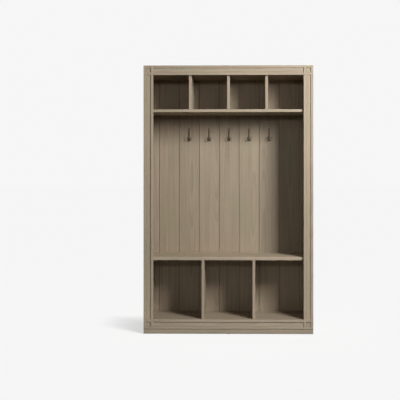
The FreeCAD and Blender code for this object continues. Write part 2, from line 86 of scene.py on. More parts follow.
class Grain(Enum):
    """The way a board's grain runs, held as the turn that stands it upright."""

    UPRIGHT = (0.0, 0.0, 0.0)
    ACROSS = (0.0, math.pi / 2, 0.0)
    INWARD = (math.pi / 2, 0.0, 0.0)


class Slot(Enum):
    """Material slots of the record for new pieces, which the script names but does not assign."""

    HOOK_METAL = "hook_metal"


class Value:
    """One output of a node tree. Arithmetic on it adds Math nodes to the tree."""

    def __init__(self, graph: "Graph", socket: bpy.types.NodeSocket | None) -> None:
        """Keeps the graph that the socket belongs to.

        Args:
            graph: The node tree that arithmetic adds to.
            socket: The output that this value stands for, or None for the node that ends a tree.
        """
        self.graph = graph
        self.socket = socket

    def math(self, operation: str, *operands: Operand) -> "Value":
        """Adds one Math node.

        Args:
            operation: Blender's name of the operation.
            operands: Values or numbers, in the order of the node's inputs.

        Returns:
            The node's result.
        """
        return self.graph.node("ShaderNodeMath", {"operation": operation}, dict(enumerate(operands)))

    def __add__(self, other: Operand) -> "Value":
        """This value plus another."""
        return self.math("ADD", self, other)

    def __radd__(self, other: Operand) -> "Value":
        """A number plus this value."""
        return self.math("ADD", other, self)

    def __sub__(self, other: Operand) -> "Value":
        """This value less another."""
        return self.math("SUBTRACT", self, other)

    def __rsub__(self, other: Operand) -> "Value":
        """A number less this value."""
        return self.math("SUBTRACT", other, self)

    def __mul__(self, other: Operand) -> "Value":
        """This value times another."""
        return self.math("MULTIPLY", self, other)

    def __rmul__(self, other: Operand) -> "Value":
        """A number times this value."""
        return self.math("MULTIPLY", other, self)

    def __truediv__(self, other: Operand) -> "Value":
        """This value divided by another."""
        return self.math("DIVIDE", self, other)

    def __rtruediv__(self, other: Operand) -> "Value":
        """A number divided by this value."""
        return self.math("DIVIDE", other, self)

    def fraction(self) -> "Value":
        """What is left of the value after its whole part."""
        return self.math("FRACT", self)

    def step(self, low: float, high: float) -> "Value":
        """A smooth rise from 0 at one value to 1 at another, either way round.

        Args:
            low: The value that gives 0.
            high: The value that gives 1.

        Returns:
            The risen value, held between 0 and 1.
        """
        bounds = {"Value": self, "From Min": low, "From Max": high, "To Min": 0.0, "To Max": 1.0}
        return self.graph.node("ShaderNodeMapRange", {"interpolation_type": "SMOOTHSTEP"}, bounds)


class Graph:
    """A node tree that is written as expressions on values.

    Attributes:
        rays: Rays that feel for an edge or a corner.
        edge_turn: Cosines of the turn at which the mask of a softened edge starts and is full.
        hollow_share: Free shares of the rays at which the mask of a hollow starts and is full.
        arris_share: Free shares of the rays at which the mask of an arris starts and is full.
        relief_strength: Strength of every relief.
    """

    rays: int = 6
    edge_turn: Span = (0.998, 0.9)
    hollow_share: Span = (0.9, 0.5)
    arris_share: Span = (0.95, 0.6)
    relief_strength: float = 0.6

    def __init__(self, tree: bpy.types.NodeTree) -> None:
        """Empties a tree and keeps it.

        Args:
            tree: The node tree of a material or a world.
        """
        self.tree = tree
        self.tree.nodes.clear()

    def node(
        self,
        kind: str,
        settings: dict[str, Any] | None = None,
        inputs: dict[str | int, Any] | None = None,
        output: str | int = 0,
    ) -> Value:
        """Adds a node, sets its settings and then its sockets.

        Args:
            kind: Blender's type name of the node.
            settings: The node's own properties.
            inputs: Values to link or constants to set, by socket name or number.
            output: The output to return, by name or number.

        Returns:
            The chosen output, which is empty for a node that ends the tree.
        """
        made = self.tree.nodes.new(kind)
        for name, setting in (settings or {}).items():
            setattr(made, name, setting)
        for key, given in (inputs or {}).items():
            if isinstance(given, Value):
                self.tree.links.new(given.socket, made.inputs[key])
            else:
                made.inputs[key].default_value = given
        return Value(self, made.outputs[output] if made.outputs else None)

    def vector(self, operation: str, first: Value, second: Value | Triple | None = None) -> Value:
        """Adds one Vector Math node.

        Args:
            operation: Blender's name of the operation.
            first: The first vector.
            second: The second vector, where the operation has one.

        Returns:
            The vector, or the number for a length or a dot product.
        """
        inputs = {0: first} if second is None else {0: first, 1: second}
        output = "Value" if operation in ("LENGTH", "DOT_PRODUCT") else "Vector"
        return self.node("ShaderNodeVectorMath", {"operation": operation}, inputs, output)

    def mix(self, factor: Operand, first: Value | Colour, second: Value | Colour) -> Value:
        """Mixes two colours.

        Args:
            factor: The share of the second colour.
            first: A colour or the value that gives it.
            second: A colour or the value that gives it.

        Returns:
            The mixed colour.
        """
        shades = [shade if isinstance(shade, Value) else (*shade, 1.0) for shade in (first, second)]
        # The sockets go by number, because the node has an A, a B and a result for each kind of data.
        inputs = {0: factor, 6: shades[0], 7: shades[1]}
        return self.node("ShaderNodeMix", {"data_type": "RGBA"}, inputs, 2)

    def noise(self, place: Value, scale: Triple, detail: float = 2.0) -> Value:
        """Noise about zero, mostly within a half each way.

        Args:
            place: Where to read it.
            scale: Waves per metre along each axis.
            detail: Octaves of finer noise.

        Returns:
            The noise.
        """
        inputs = {"Vector": self.vector("MULTIPLY", place, scale), "Scale": 1.0, "Detail": detail}
        return (self.node("ShaderNodeTexNoise", {}, inputs) - 0.5) * 2.0

    def place(self) -> Value:
        """The piece's own Object coordinates."""
        return self.node("ShaderNodeTexCoord", output="Object")

    def turned_place(self, middle: Vector, grain: Grain) -> Value:
        """Object coordinates about a piece's middle, turned so that its grain runs along Z.

        Args:
            middle: The middle of the piece.
            grain: The way its grain runs.

        Returns:
            The turned coordinates.
        """
        shift = Euler(grain.value).to_matrix() @ -middle
        inputs = {"Vector": self.place(), "Location": shift, "Rotation": grain.value}
        return self.node("ShaderNodeMapping", {"vector_type": "POINT"}, inputs)

    def soft_edges(self, radius: float) -> tuple[Value, Value]:
        """Rounds the edges in shading.

        Args:
            radius: How far the rounding reaches from an edge.

        Returns:
            The rounded normal, and a mask that is 1 along the edges.
        """
        rounded = self.node("ShaderNodeBevel", {"samples": self.rays}, {"Radius": radius})
        flat = self.node("ShaderNodeNewGeometry", output="Normal")
        return rounded, self.vector("DOT_PRODUCT", rounded, flat).step(*self.edge_turn)

    def free_share(self, reach: float, inside: bool) -> Value:
        """The share of short rays from a point that miss the piece's own shape.

        Args:
            reach: Length of the rays.
            inside: Whether they run into the piece instead of away from it.

        Returns:
            The share.
        """
        settings = {"samples": self.rays, "inside": inside, "only_local": True}
        return self.node("ShaderNodeAmbientOcclusion", settings, {"Distance": reach}, "AO")

    def hollows(self, reach: float) -> Value:
        """A mask that is 1 in the tight inner corners of a piece's own shape.

        Args:
            reach: How far from a corner the mask fades out.

        Returns:
            The mask.
        """
        return self.free_share(reach, inside=False).step(*self.hollow_share)

    def arrises(self, reach: float) -> Value:
        """A mask that is 1 along the outer edges of a piece's own shape, also beside flush neighbours.

        Args:
            reach: How far from an edge the mask fades out.

        Returns:
            The mask.
        """
        return self.free_share(reach, inside=True).step(*self.arris_share)

    def surface(
        self, inputs: dict[str, Any], height: Value, relief: float, normal: Value | None = None
    ) -> None:
        """Ends the tree with a surface that carries a fine relief.

        Args:
            inputs: Sockets of the surface shader.
            height: The relief, in shares of its depth.
            relief: The relief's depth.
            normal: The normal that the relief stands on, if it isn't the mesh's own.
        """
        bump = {"Strength": self.relief_strength, "Distance": relief, "Height": height}
        if normal is not None:
            bump["Normal"] = normal
        shaded = inputs | {"Normal": self.node("ShaderNodeBump", {}, bump)}
        shader = self.node("ShaderNodeBsdfPrincipled", {}, shaded)
        self.node("ShaderNodeOutputMaterial", {}, {"Surface": shader})


def new_material(name: str) -> tuple[bpy.types.Material, Graph]:
    """Makes a material with an empty node tree.

    Args:
        name: The material's name.

    Returns:
        The material and its graph.
    """
    material = bpy.data.materials.new(name)
    material.use_nodes = True
    return material, Graph(material.node_tree)


def nodes_called(prefix: str) -> list[str]:
    """The CAD nodes whose names start alike, in order.

    Args:
        prefix: What the names start with.

    Returns:
        The names.
    """
    return sorted(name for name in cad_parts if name.startswith(prefix))


def dress_node(name: str, material: bpy.types.Material) -> None:
    """Gives a CAD node one material in all its slots.

    Args:
        name: The CAD node.
        material: Its finish.
    """
    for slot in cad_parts[name].material_slots:
        slot.material = material
    log.info("dressed %s in %s", name, material.name)


def as_object(name: str, mesh: bmesh.types.BMesh) -> bpy.types.Object:
    """Turns a bmesh into a scene object and frees it.

    Args:
        name: Name of the object and its mesh.
        mesh: The shape.

    Returns:
        The new object.
    """
    data = bpy.data.meshes.new(name)
    mesh.to_mesh(data)
    mesh.free()
    made = bpy.data.objects.new(name, data)
    bpy.context.scene.collection.objects.link(made)
    return made


@dataclass(frozen=True)
class Weights:
    """How much each part of a board's figure counts in a mix.

    Attributes:
        late_wood: Weight of the dark part of each growth ring.
        streaks: Weight of the long streaks.
        fibres: Weight of the fine fibres.
        pores: Weight of the open pores.
        clouds: Weight of the slow clouds of tone.
    """

    late_wood: float = 0.0
    streaks: float = 0.0
    fibres: float = 0.0
    pores: float = 0.0
    clouds: float = 0.0


@dataclass(frozen=True)
class Figure:
    """The figure of one board as masks and noises.

    Attributes:
        late_wood: 1 in the dark part of each growth ring.
        streaks: Noise of long streaks a finger wide.
        fibres: Noise of fine fibres.
        pores: 1 in the open pores.
        clouds: Slow noise of tone.
        hues: Slow noise of colour.
    """

    late_wood: Value
    streaks: Value
    fibres: Value
    pores: Value
    clouds: Value
    hues: Value

    def blend(self, start: float, weights: Weights) -> Value:
        """Adds the weighted parts of the figure to a number.

        Args:
            start: What the blend is where no part shows.
            weights: How much each part counts.

        Returns:
            The sum.
        """
        total: Operand = start
        for part, weight in asdict(weights).items():
            if weight:
                total = total + getattr(self, part) * weight
        return total


@dataclass(frozen=True)
class Timber:
    """One board as it was sawn: growth rings about a heart line, long streaks and open pores.

    Waves are counted per metre, two ways across the grain and then along it.

    Attributes:
        grain: The way the grain runs.
        number: The board's number, which picks its place in the tree.
        ring: Width of a growth ring.
        ring_bend: How far a ring bends out of round.
        ring_lean: Lean of the rings along the grain.
        heart_depth: Distance of the tree's heart from the board's middle.
        heart_spread: Share of the board's width over which the hearts of the boards lie.
        heart_slip: How far the leaning rings are shifted from board to board.
        noise_shift: How far apart in the noises boards of seed 0 and seed 1 lie.
        late_rise: Shares of a ring at which its dark part starts and is full.
        late_fall: Shares of a ring at which its dark part is gone and last was full.
        pore_rise: Noise at which a pore starts and is fully open.
        bend_waves: Waves of the rings' bend.
        streak_waves: Waves of the streaks.
        fibre_waves: Waves of the fibres.
        pore_waves: Waves of the pores.
        cloud_waves: Waves of the clouds of tone.
        hue_waves: Waves of the drift in colour.
    """

    grain: Grain
    number: int
    ring: float = 0.006
    ring_bend: float = 0.014
    ring_lean: float = 0.045
    heart_depth: float = 0.08
    heart_spread: float = 0.7
    heart_slip: float = 0.08
    noise_shift: Triple = (31.0, 17.0, 53.0)
    late_rise: Span = (0.3, 0.9)
    late_fall: Span = (1.0, 0.93)
    pore_rise: Span = (0.22, 0.45)
    bend_waves: Triple = (5.0, 5.0, 1.1)
    streak_waves: Triple = (70.0, 70.0, 1.3)
    fibre_waves: Triple = (900.0, 900.0, 9.0)
    pore_waves: Triple = (1500.0, 1500.0, 34.0)
    cloud_waves: Triple = (6.0, 6.0, 1.6)
    hue_waves: Triple = (7.0, 7.0, 3.1)

    @property
    def seed(self) -> float:
        """A number from 0 to 1 that differs from board to board."""
        return (self.number * GOLDEN_TURN) % 1.0

    @property
    def swing(self) -> float:
        """The seed about zero, from minus a half to a half."""
        return self.seed - 0.5

    def figure(self, graph: Graph, middle: Vector, span: Vector) -> Figure:
        """Adds the nodes of the figure.

        Args:
            graph: The material's graph.
            middle: The middle of the board.
            span: The board's lengths along X, Y and Z.

        Returns:
            The figure.
        """
        turned = Euler(self.grain.value).to_matrix() @ span
        wide = max(abs(turned.x), abs(turned.y))
        aside = self.swing * self.heart_spread * wide
        heart = (aside, self.heart_depth) if abs(turned.x) == wide else (self.heart_depth, aside)
        place = graph.turned_place(middle, self.grain)
        own = graph.vector("ADD", place, tuple(shift * self.seed for shift in self.noise_shift))
        bend = graph.noise(own, self.bend_waves, detail=1.0) * self.ring_bend
        leaning = graph.vector("MULTIPLY", place, (1.0, 1.0, self.ring_lean))
        from_heart = graph.vector("ADD", leaning, (*heart, self.heart_slip * self.swing))
        phase = ((graph.vector("LENGTH", from_heart) + bend) / self.ring).fraction()
        return Figure(
            late_wood=phase.step(*self.late_rise) * phase.step(*self.late_fall),
            streaks=graph.noise(own, self.streak_waves, detail=3.0),
            fibres=graph.noise(own, self.fibre_waves),
            pores=graph.noise(own, self.pore_waves, detail=1.0).step(*self.pore_rise),
            clouds=graph.noise(own, self.cloud_waves),
            hues=graph.noise(own, self.hue_waves, detail=1.0),
        )


@dataclass(frozen=True)
class LimedPaint:
    """Matt taupe paint rubbed thin over open grain, so that pores, rings and arrises show through.

    Attributes:
        timber: The board under the paint.
        joint: Depths along Y between which shade is painted, as in a V joint.
        coat: The paint where it lies thick.
        grain_shade: The paint where late wood and pores show.
        green_shade: What the paint drifts to in some clouds.
        pink_shade: What the paint drifts to in others.
        rubbed: The paint worn thin along the edges.
        painted_shade: Painted shade: the dark colour mixed into corners, joints and the gaps at the back.
        rubbing_and_painted_light: Share of the timber that the rubbed paint lets through, which the
            sub-assemblies also set as painted light and shade.
        board_drift: How far that share differs from board to board.
        shown: How much the figure adds to that share.
        shown_range: Shares at which none and all of the grain's shade is mixed in.
        lean: Lean of the paint's hue, to green above zero and to pink below.
        hue_reach: Noise at which the hue has drifted all the way.
        hue_share: Share of the drifted hue.
        edge_radius: How far the edges are softened.
        edge_share: Share of rubbed paint along the edges.
        edge_wear: How much the figure adds to that share.
        corner_shade_share: Share of painted shade in the corners of sunk panels.
        corner_reach: How far the painted shade reaches from such a corner.
        joint_shade_share: Share of painted shade in the joints.
        gap_reach: How far the painted shade of a joint reaches on the back of a jointed board.
        back_skin: Depth of that back, in which no V joint shows.
        sheen: Strength of the paint's matt shine.
        roughness: Roughness of the plain paint.
        roughening: How much the figure adds to it.
        edge_polish: How much smoother the edges are.
        relief: The figure's relief, in shares of its depth.
        relief_depth: The depth of the relief.
    """

    timber: Timber
    joint: Span | None = None
    coat: Colour = (0.39, 0.316, 0.23)
    grain_shade: Colour = (0.225, 0.178, 0.125)
    green_shade: Colour = (0.305, 0.278, 0.182)
    pink_shade: Colour = (0.36, 0.272, 0.212)
    rubbed: Colour = (0.47, 0.39, 0.29)
    painted_shade: Colour = (0.085, 0.064, 0.043)
    rubbing_and_painted_light: float = 0.2
    board_drift: float = 0.1
    shown: Weights = Weights(late_wood=0.2, streaks=0.36, fibres=0.16, pores=0.4, clouds=0.16)
    shown_range: Span = (-0.1, 1.0)
    lean: float = 0.0
    hue_reach: float = 0.5
    hue_share: float = 0.4
    edge_radius: float = 0.0012
    edge_share: float = 0.3
    edge_wear: Weights = Weights(streaks=0.3)
    corner_shade_share: float = 0.9
    corner_reach: float = 0.004
    joint_shade_share: float = 0.85
    gap_reach: float = 0.0016
    back_skin: float = 0.001
    sheen: float = 0.3
    roughness: float = 0.7
    roughening: Weights = Weights(streaks=0.08, pores=0.12)
    edge_polish: float = 0.1
    relief: Weights = Weights(late_wood=-0.2, fibres=0.25, pores=-1.0)
    relief_depth: float = 0.00025

    def painted_shade_share(self, graph: Graph, back: float) -> Value:
        """Where shade is painted: in sunk corners, in V joints and in the gaps at the back.

        Args:
            graph: The material's graph.
            back: The board's back along Y.

        Returns:
            The share of painted shade.
        """
        # Painted shade: darker where short rays meet the piece's own walls, as in the sunk panels' corners.
        corners = graph.hollows(self.corner_reach) * self.corner_shade_share
        if self.joint is None:
            return corners
        depth = graph.node("ShaderNodeSeparateXYZ", {}, {0: graph.place()}, "Y")
        behind = depth.step(back - self.back_skin, back)
        # Painted shade in the V joints, and along the board's own edges on its back, where the gaps are.
        gaps = depth.step(*self.joint) * (1.0 - behind) + graph.arrises(self.gap_reach) * behind
        return corners + gaps * self.joint_shade_share

    def material(self, name: str) -> bpy.types.Material:
        """The finish of one board.

        Args:
            name: The CAD node that is the board.

        Returns:
            Its material.
        """
        low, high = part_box(name)
        material, graph = new_material(f"limed_paint_{name}")
        figure = self.timber.figure(graph, (low + high) / 2, high - low)
        rounded, edges = graph.soft_edges(self.edge_radius)
        tone = self.rubbing_and_painted_light + self.board_drift * self.timber.swing
        shown = figure.blend(tone, self.shown).step(*self.shown_range)
        colour = graph.mix(shown, self.coat, self.grain_shade)
        hues = figure.hues + self.lean
        for reach, shade in ((self.hue_reach, self.green_shade), (-self.hue_reach, self.pink_shade)):
            colour = graph.mix(hues.step(0.0, reach) * self.hue_share, colour, shade)
        colour = graph.mix(edges * figure.blend(self.edge_share, self.edge_wear), colour, self.rubbed)
        # Painted shade mixed into the colour of corners, joints and gaps.
        colour = graph.mix(self.painted_shade_share(graph, high.y), colour, self.painted_shade)
        roughness = figure.blend(self.roughness, self.roughening) - edges * self.edge_polish
        inputs = {"Base Color": colour, "Roughness": roughness, "Specular IOR Level": self.sheen}
        graph.surface(inputs, figure.blend(0.0, self.relief), self.relief_depth, rounded)
        return material


@dataclass(frozen=True)
class BareTimber:
    """Unpainted timber of hidden pieces.

    Attributes:
        timber: The piece as it was sawn.
        early: The pale early wood.
        late: The darker late wood.
        tone: Share of the late wood's colour everywhere.
        shown: How much the figure adds to that share.
        roughness: Roughness of the plain timber.
        roughening: How much the figure adds to it.
        relief: The figure's relief, in shares of its depth.
        relief_depth: The depth of the relief.
    """

    timber: Timber
    early: Colour = (0.6, 0.45, 0.28)
    late: Colour = (0.4, 0.26, 0.13)
    tone: float = 0.2
    shown: Weights = Weights(late_wood=0.6, fibres=0.2, pores=0.2)
    roughness: float = 0.66
    roughening: Weights = Weights(streaks=0.1)
    relief: Weights = Weights(fibres=0.3, pores=-1.0)
    relief_depth: float = 0.0003

    def material(self, name: str) -> bpy.types.Material:
        """The finish of one bare piece.

        Args:
            name: The CAD node that is the piece.

        Returns:
            Its material.
        """
        low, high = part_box(name)
        material, graph = new_material(f"bare_timber_{name}")
        figure = self.timber.figure(graph, (low + high) / 2, high - low)
        shown = figure.blend(self.tone, self.shown).step(0.0, 1.0)
        colour = graph.mix(shown, self.early, self.late)
        roughness = figure.blend(self.roughness, self.roughening)
        inputs = {"Base Color": colour, "Roughness": roughness}
        graph.surface(inputs, figure.blend(0.0, self.relief), self.relief_depth)
        return material


@dataclass(frozen=True)
class AgedBronze:
    """Dark antiqued casting, rubbed brighter where hands and loops touch it.

    Attributes:
        patina: The dark colour in the hollows.
        metal: The metal where it is rubbed.
        wear: Share of rubbed metal everywhere.
        bulge_wear: What a bulge adds to that share.
        blotch_wear: What the blotches add to it.
        bulge: Pointiness at which a bulge starts and is full.
        blotch_waves: Waves of the blotches per metre.
        grit_waves: Waves of the sand's grit per metre.
        metallic: How metallic the patina is.
        wear_metallic: What rubbing adds to that.
        roughness: Roughness of the patina.
        wear_polish: How much smoother the rubbed metal is.
        grit_roughness: What the grit adds to the roughness.
        relief_depth: Depth of the grit and the blotches.
    """

    patina: Colour = (0.06, 0.044, 0.028)
    metal: Colour = (0.36, 0.27, 0.17)
    wear: float = 0.2
    bulge_wear: float = 0.6
    blotch_wear: float = 0.5
    bulge: Span = (0.5, 0.56)
    blotch_waves: Triple = (90.0, 90.0, 90.0)
    grit_waves: Triple = (1400.0, 1400.0, 1400.0)
    metallic: float = 0.35
    wear_metallic: float = 0.6
    roughness: float = 0.46
    wear_polish: float = 0.12
    grit_roughness: float = 0.06
    relief_depth: float = 0.00012

    def material(self, name: str) -> bpy.types.Material:
        """The finish of the hooks and their screws.

        Args:
            name: The material's name.

        Returns:
            The material.
        """
        material, graph = new_material(name)
        at = graph.place()
        blotches = graph.noise(at, self.blotch_waves, detail=3.0)
        grit = graph.noise(at, self.grit_waves, detail=1.0)
        bulge = graph.node("ShaderNodeNewGeometry", output="Pointiness").step(*self.bulge)
        worn = (bulge * self.bulge_wear + blotches * self.blotch_wear + self.wear).step(0.0, 1.0)
        inputs = {
            "Base Color": graph.mix(worn, self.patina, self.metal),
            "Roughness": self.roughness - worn * self.wear_polish + grit * self.grit_roughness,
            "Metallic": self.metallic + worn * self.wear_metallic,
        }
        graph.surface(inputs, grit + blotches, self.relief_depth)
        return material


@dataclass(frozen=True)
class ZincSteel:
    """Yellow zinc on screws, with the plating's drift in colour.

    Attributes:
        yellow: The plating's main colour.
        grey: Where the plating is thin.
        thinning: Noise at which the plating is whole and thin.
        drift_waves: Waves of the drift in colour per metre.
        scratch_waves: Waves of the scratches per metre.
        roughness: Roughness of the plain plating.
        scratch_roughness: What the scratches add to it.
        drift_roughness: What the drift adds to it.
        relief_depth: Depth of the scratches.
    """

    yellow: Colour = (0.58, 0.48, 0.27)
    grey: Colour = (0.46, 0.45, 0.42)
    thinning: Span = (-0.4, 0.4)
    drift_waves: Triple = (130.0, 130.0, 130.0)
    scratch_waves: Triple = (2200.0, 500.0, 2200.0)
    roughness: float = 0.34
    scratch_roughness: float = 0.12
    drift_roughness: float = 0.05
    relief_depth: float = 0.00005

    def material(self, name: str) -> bpy.types.Material:
        """The finish of the screws.

        Args:
            name: The material's name.

        Returns:
            The material.
        """
        material, graph = new_material(name)
        at = graph.place()
        drift = graph.noise(at, self.drift_waves)
        scratches = graph.noise(at, self.scratch_waves, detail=1.0)
        inputs = {
            "Base Color": graph.mix(drift.step(*self.thinning), self.yellow, self.grey),
            "Roughness": self.roughness + scratches * self.scratch_roughness + drift * self.drift_roughness,
            "Metallic": 1.0,
        }
        graph.surface(inputs, scratches, self.relief_depth)
        return material


@dataclass(frozen=True)
class GlidePlastic:
    """Dark moulded plastic of the floor glides, scuffed from sliding.

    Attributes:
        plastic: The moulded colour.
        scuff: The paler scuffs.
        scuff_share: Share of a scuff's colour.
        scuff_rise: Noise at which a scuff starts and is full.
        scuff_waves: Waves of the scuffs per metre.
        spark_waves: Waves of the eroded mould's texture per metre.
        roughness: Roughness of the plain plastic.
        scuff_roughness: What a scuff adds to it.
        spark_roughness: What the texture adds to it.
        relief_depth: Depth of the texture.
    """

    plastic: Colour = (0.055, 0.05, 0.045)
    scuff: Colour = (0.16, 0.15, 0.135)
    scuff_share: float = 0.6
    scuff_rise: Span = (0.12, 0.5)
    scuff_waves: Triple = (60.0, 420.0, 420.0)
    spark_waves: Triple = (1800.0, 1800.0, 1800.0)
    roughness: float = 0.48
    scuff_roughness: float = 0.2
    spark_roughness: float = 0.06
    relief_depth: float = 0.00006

    def material(self, name: str) -> bpy.types.Material:
        """The finish of the glides.

        Args:
            name: The material's name.

        Returns:
            The material.
        """
        material, graph = new_material(name)
        at = graph.place()
        spark = graph.noise(at, self.spark_waves, detail=1.0)
        scuffs = graph.noise(at, self.scuff_waves).step(*self.scuff_rise)
        inputs = {
            "Base Color": graph.mix(scuffs * self.scuff_share, self.plastic, self.scuff),
            "Roughness": self.roughness + scuffs * self.scuff_roughness + spark * self.spark_roughness,
        }
        graph.surface(inputs, spark, self.relief_depth)
        return material


@dataclass(frozen=True)
class PaleFloor:
    """Plain pale paper that glows a little, so that only a soft shadow shows on it.

    Attributes:
        glow: The part of its brightness that casts no shadow.
        grey: Share of light that it throws back.
    """

    glow: float = 0.634
    grey: float = 0.3

    def material(self, name: str) -> bpy.types.Material:
        """The finish of the floor.

        Args:
            name: The material's name.

        Returns:
            The material.
        """
        material, graph = new_material(name)
        inputs = {
            "Base Color": (self.grey, self.grey, self.grey, 1.0),
            "Roughness": 1.0,
            "Specular IOR Level": 0.0,
            "Emission Color": WHITE,
            "Emission Strength": self.glow,
        }
        shader = graph.node("ShaderNodeBsdfPrincipled", {}, inputs)
        graph.node("ShaderNodeOutputMaterial", {}, {"Surface": shader})
        return material


@dataclass
class Joinery:
    """A sub-assembly of painted boards, which the CAD nodes shape.

    Attributes:
        first_number: The number of its first board, so that no two boards share a figure.
        rubbing_and_painted_light: Share of the timber that its rubbed paint lets through; the frame and
            plinth set it lower as painted light, the back boards higher as painted shade.
    """

    first_number: int
    rubbing_and_painted_light: float = 0.2

    def boards(self) -> dict[str, Grain]:
        """The way the grain runs in each board."""
        return {}

    def finish(self, name: str, timber: Timber) -> LimedPaint:
        """The paint on one board.

        Args:
            name: The board's CAD node; not used here.
            timber: The board under the paint.

        Returns:
            The paint.
        """
        return LimedPaint(timber, rubbing_and_painted_light=self.rubbing_and_painted_light)

    def build(self) -> None:
        """Reports the boards, whose shapes are the CAD nodes' own."""
        log.info("%s keeps %d CAD boards", type(self).__name__, len(self.boards()))

    def dress(self) -> None:
        """Paints each board over its own figure."""
        for number, (name, grain) in enumerate(self.boards().items(), start=self.first_number):
            dress_node(name, self.finish(name, Timber(grain, number)).material(name))


@dataclass
class FaceFrame(Joinery):
    """The stiles, rails and corner blocks round the opening.

    Attributes:
        sides: Names of the two sides.
        levels: Names of the two levels.
        greener: The member whose paint leans to green and is set paler, as painted light on the side away
            from the key box.
        lean: How far it leans.
        thick_paint_and_painted_light: Share of the timber that shows in it, set low so that its paint is
            paler as painted light.
    """

    first_number: int = 1
    # Painted light: the frame's paint is set paler than the back boards', so the front reads as more
    # brightly lit.
    rubbing_and_painted_light: float = 0.1
    sides: tuple[str, ...] = ("left", "right")
    levels: tuple[str, ...] = ("top", "bottom")
    greener: str = "left_stile"
    lean: float = 0.35
    thick_paint_and_painted_light: float = -0.12

    def boards(self) -> dict[str, Grain]:
        """Upright stiles and blocks, and rails that run across."""
        boards = {f"{side}_stile": Grain.UPRIGHT for side in self.sides}
        boards |= {f"{level}_rail": Grain.ACROSS for level in self.levels}
        corners = [(level, side) for level in self.levels for side in self.sides]
        return boards | {f"corner_block_{level}_{side}": Grain.UPRIGHT for level, side in corners}

    def finish(self, name: str, timber: Timber) -> LimedPaint:
        """The paint on one member of the frame.

        Args:
            name: The member's CAD node.
            timber: The board under the paint.

        Returns:
            The paint.
        """
        # Painted light: the left stile gets paler paint so that it reads as more brightly lit; its green
        # lean is its own colour.
        if name == self.greener:
            return LimedPaint(timber, lean=self.lean, rubbing_and_painted_light=self.thick_paint_and_painted_light)
        return super().finish(name, timber)


@dataclass
class Carcass(Joinery):
    """The sides, level panels and dividers behind the face frame.

    Attributes:
        panels: The level panels.
        uprights: The sides and dividers.
        shelf: The shelf, whose paint lies thick.
        seat: The seat, whose thick paint is set paler as painted light on its top.
        seat_painted_light_coat: The seat's paler paint, a painted light.
        thick_paint_and_painted_light: Share of the timber that shows in the shelf and the seat, set low so
            that their paint is paler; on the seat this paleness is painted light.
    """

    first_number: int = 11
    panels: tuple[str, ...] = ("top_board", "cubby_ceiling", "hat_shelf", "bench_seat", "base_board")
    uprights: tuple[str, ...] = (
        "left_side_panel",
        "right_side_panel",
        "upper_divider_left",
        "upper_divider_middle",
        "upper_divider_right",
        "lower_divider_left",
        "lower_divider_right",
    )
    shelf: str = "hat_shelf"
    seat: str = "bench_seat"
    seat_painted_light_coat: Colour = (0.45, 0.366, 0.268)
    thick_paint_and_painted_light: float = 0.02

    def boards(self) -> dict[str, Grain]:
        """Panels that run across and uprights that stand."""
        boards = {name: Grain.ACROSS for name in self.panels}
        return boards | {name: Grain.UPRIGHT for name in self.uprights}

    def finish(self, name: str, timber: Timber) -> LimedPaint:
        """The paint on one panel, thicker on the shelf and the seat, and paler on the seat as painted
        light.

        Args:
            name: The panel's CAD node.
            timber: The board under the paint.

        Returns:
            The paint.
        """
        # Painted light: the seat gets a paler coat so that its top reads as more brightly lit.
        if name == self.seat:
            return LimedPaint(timber, coat=self.seat_painted_light_coat, rubbing_and_painted_light=self.thick_paint_and_painted_light)
        if name == self.shelf:
            return LimedPaint(timber, rubbing_and_painted_light=self.thick_paint_and_painted_light)
        return super().finish(name, timber)


@dataclass
class Boarding(Joinery):
    """The tongue and groove back, with painted shade in its V joints.

    Attributes:
        prefix: What the names of its boards start with.
        joint_depth: Depth of the V joints.
        shade_start_depth: How far into a joint the painted shade starts.
    """

    first_number: int = 31
    # Painted shade: the back boards' paint is set darker, for the dimmer light in the bay.
    rubbing_and_painted_light: float = 0.25
    prefix: str = "back_board_"
    joint_depth: float = 0.003
    shade_start_depth: float = 0.0004

    def boards(self) -> dict[str, Grain]:
        """Upright boards from left to right."""
        return {name: Grain.UPRIGHT for name in nodes_called(self.prefix)}

    def finish(self, name: str, timber: Timber) -> LimedPaint:
        """The paint on one back board, with painted shade in its joints.

        Args:
            name: The back board's CAD node.
            timber: The board under the paint.

        Returns:
            The paint.
        """
        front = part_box(name)[0].y
        joint = (front + self.shade_start_depth, front + self.joint_depth)
        return LimedPaint(timber, joint, rubbing_and_painted_light=self.rubbing_and_painted_light)


@dataclass
class Plinth(Joinery):
    """The painted plinth boards and the bare blocks behind them.

    Attributes:
        painted: Rails that get the cabinet's paint.
        bare: Blocks that stay bare.
    """

    first_number: int = 51
    # Painted light: the plinth's paint is set paler, to lighten the shade under the bottom rail.
    rubbing_and_painted_light: float = 0.06
    painted: tuple[str, ...] = ("plinth_front", "plinth_rear")
    bare: tuple[str, ...] = ("plinth_block_left", "plinth_block_middle", "plinth_block_right")

    def boards(self) -> dict[str, Grain]:
        """Rails that run across."""
        return {name: Grain.ACROSS for name in self.painted}

    def dress(self) -> None:
        """Paints the rails and leaves the blocks bare."""
        super().dress()
        for number, name in enumerate(self.bare, start=self.first_number + len(self.painted)):
            dress_node(name, BareTimber(Timber(Grain.UPRIGHT, number)).material(name))


